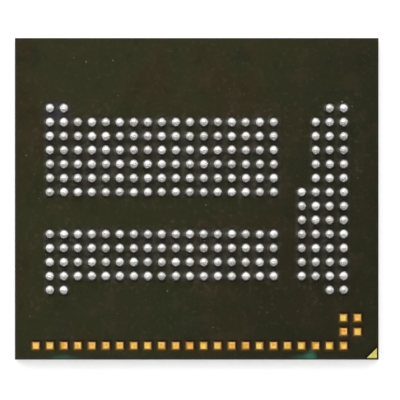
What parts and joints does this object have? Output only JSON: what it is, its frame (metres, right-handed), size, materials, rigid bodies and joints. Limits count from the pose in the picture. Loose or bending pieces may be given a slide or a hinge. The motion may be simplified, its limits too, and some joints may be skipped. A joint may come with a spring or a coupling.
{
  "type": "bga chip",
  "caption": "Thin rectangular memory package with fields of solder balls and gold test pads on its laminate, over stacked bonded dies in a moulded cap.",
  "frame": {"origin": "centre of the flat marking face that the package lies on, ball side up", "axes": "+X along the 13 mm side, towards the narrow ball field; +Y along the 11.5 mm side, away from the line of test pads; +Z out of the solder balls"},
  "size_m": [0.013, 0.0116, 0.001],
  "materials": {
    "mould_compound": "matte, fine filler grain",
    "ball_side_mask": "satin solder mask",
    "die_side_mask": "satin solder mask",
    "laminate": "sawn glass and resin",
    "copper": "bare copper foil",
    "gold_plate": "soft gold plating",
    "solder": "bright reflowed solder",
    "silicon": "polished silicon",
    "attach_film": "cured adhesive film",
    "gold_wire": "drawn gold wire"
  },
  "bodies": {
    "root": {"mould_cap": "mould_compound", "die_side_mask": "die_side_mask", "laminate_core": "laminate", "vias": "copper", "ball_lands": "copper", "ball_side_mask": "ball_side_mask", "edge_test_pads": "gold_plate", "corner_test_pads": "gold_plate", "corner_mark": "gold_plate", "upper_field_balls": "solder", "lower_field_balls": "solder", "side_field_balls": "solder", "flash_die_1": "silicon", "flash_die_2": "silicon", "flash_die_3": "silicon", "flash_die_4": "silicon", "flash_film_1": "attach_film", "flash_film_2": "attach_film", "flash_film_3": "attach_film", "flash_film_4": "attach_film", "ram_die_1": "silicon", "ram_die_2": "silicon", "ram_film_1": "attach_film", "ram_film_2": "attach_film", "controller_die": "silicon", "controller_film": "attach_film", "flash_fingers": "gold_plate", "ram_fingers": "gold_plate", "controller_fingers": "gold_plate", "flash_wires": "gold_wire", "ram_wires": "gold_wire", "controller_wires": "gold_wire"}
  },
  "joints": []
}
